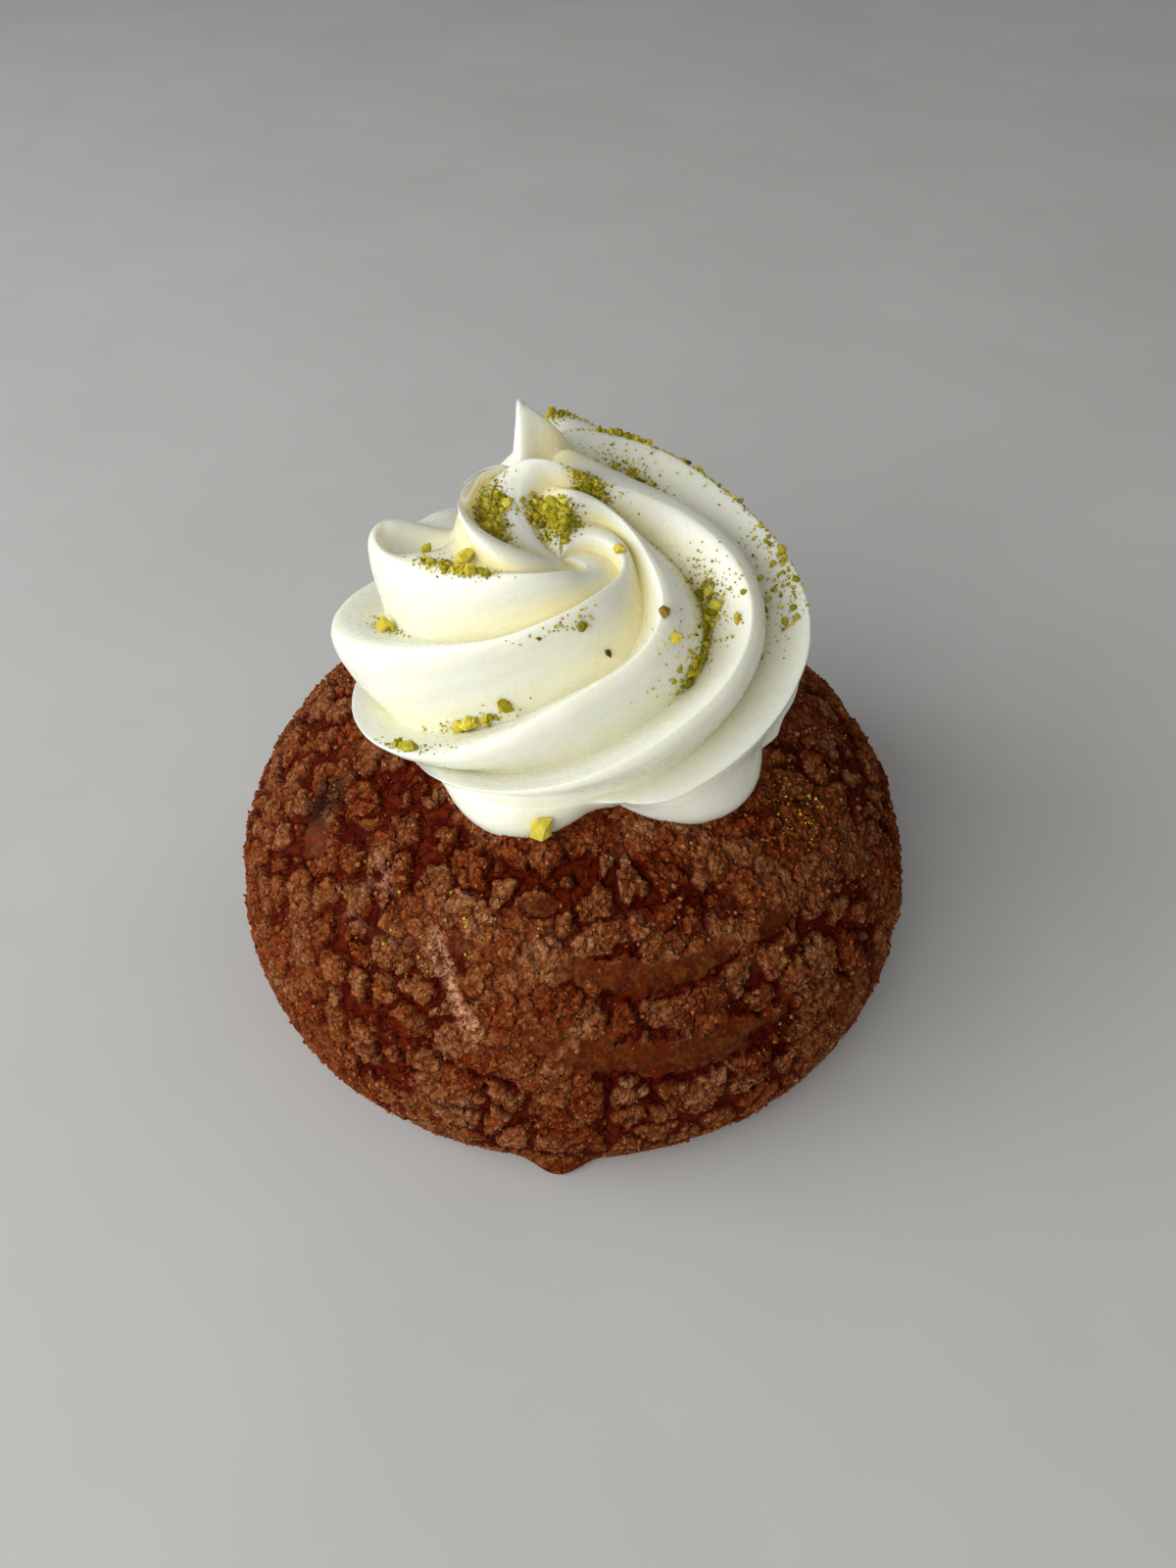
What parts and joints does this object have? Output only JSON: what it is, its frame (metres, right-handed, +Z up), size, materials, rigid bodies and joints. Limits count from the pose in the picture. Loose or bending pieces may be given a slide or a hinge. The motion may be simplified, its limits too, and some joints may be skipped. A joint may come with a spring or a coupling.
{
  "type": "choux bun",
  "caption": "Domed choux bun with a crackled sugar crust, topped with a piped swirl of cream and chopped pistachio.",
  "frame": {"origin": "centre of the bun's flat base, where it rests on the table", "axes": "+Z up, -Y towards the front that the picture shows, +X to the right of it"},
  "size_m": [0.0836, 0.0834, 0.0659],
  "materials": {
    "crust": "crumbly baked sugar crust, matt with small glints",
    "cream": "smooth whipped cream, soft satin",
    "pistachio": "chopped nut, matt"
  },
  "bodies": {
    "root": {"crust_bun": "crust", "cream_swirl": "cream"}
  },
  "joints": []
}
